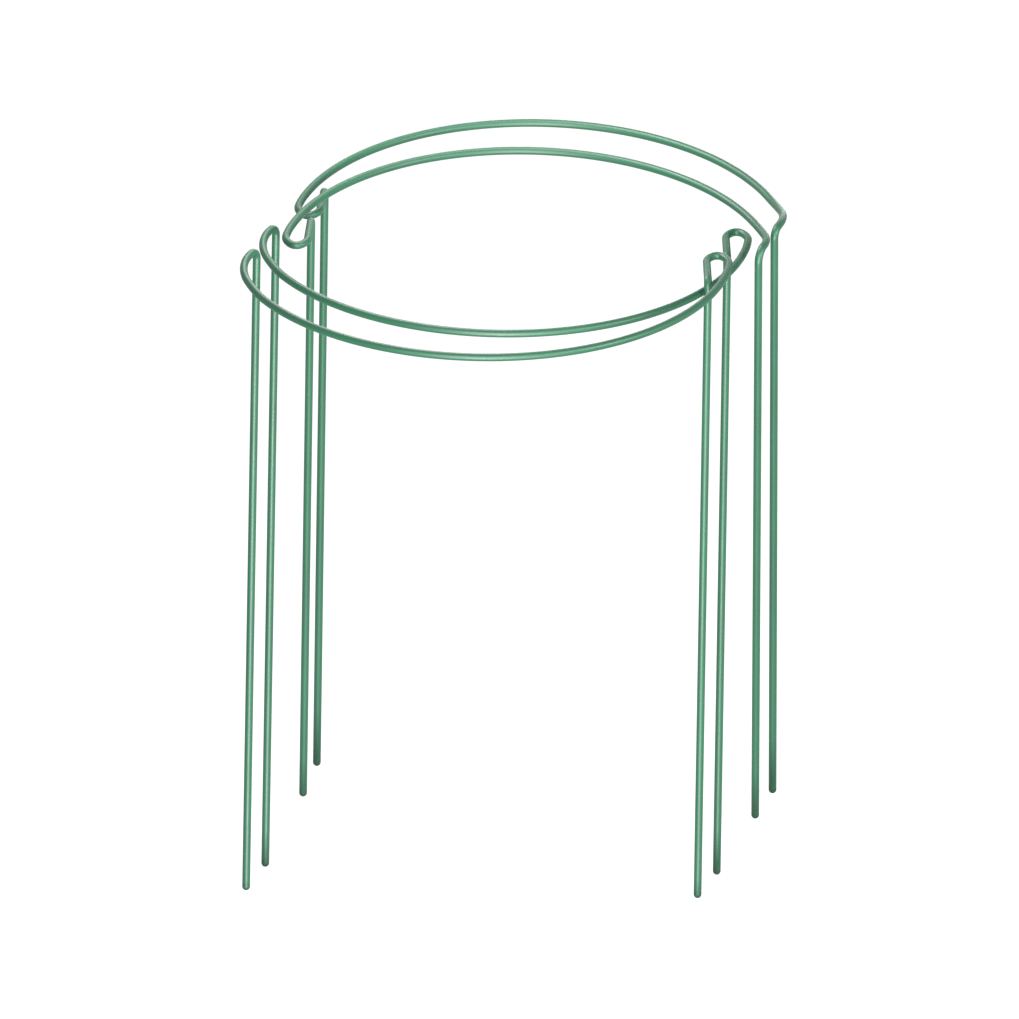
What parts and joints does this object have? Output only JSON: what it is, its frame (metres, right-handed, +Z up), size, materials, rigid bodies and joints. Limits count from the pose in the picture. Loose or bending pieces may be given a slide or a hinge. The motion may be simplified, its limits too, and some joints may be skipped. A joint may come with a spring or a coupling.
{
  "type": "garden plant support set",
  "caption": "Half-round green coated wire plant supports on long legs, nested in facing pairs round a plant, each with an open linking eye at one end.",
  "frame": {"origin": "on the surface of the soil, at the plant's stem, in the middle between the two facing pairs", "axes": "+Z up out of the soil; -Y is the front, where the bow of the front pair points; +X to the right seen from the front"},
  "size_m": [0.3308, 0.3453, 0.4255],
  "materials": {
    "steel_wire": "drawn",
    "green_coat": "semi-gloss extruded",
    "tip_seal": "semi-gloss dipped"
  },
  "bodies": {
    "front_far": {"front_far_steel_core": "steel_wire", "front_far_green_coat": "green_coat", "front_far_plain_leg_tip": "tip_seal", "front_far_eye_leg_tip": "tip_seal"},
    "front_near": {"front_near_steel_core": "steel_wire", "front_near_green_coat": "green_coat", "front_near_plain_leg_tip": "tip_seal", "front_near_eye_leg_tip": "tip_seal"},
    "back_far": {"back_far_steel_core": "steel_wire", "back_far_green_coat": "green_coat", "back_far_plain_leg_tip": "tip_seal", "back_far_eye_leg_tip": "tip_seal"},
    "back_near": {"back_near_steel_core": "steel_wire", "back_near_green_coat": "green_coat", "back_near_plain_leg_tip": "tip_seal", "back_near_eye_leg_tip": "tip_seal"}
  },
  "joints": [
    {"name": "front_near_lift", "type": "slide", "parent": "front_far", "child": "front_near", "axis": [0.0159, 0.0602, 0.9981], "range_m": [0, 0.0948]},
    {"name": "back_far_lift", "type": "slide", "parent": "front_far", "child": "back_far", "axis": [0.012, -0.0719, 0.9973], "range_m": [0, 0.1037]},
    {"name": "back_near_lift", "type": "slide", "parent": "back_far", "child": "back_near", "axis": [0.0125, -0.0694, 0.9975], "range_m": [0, 0.1017]}
  ]
}
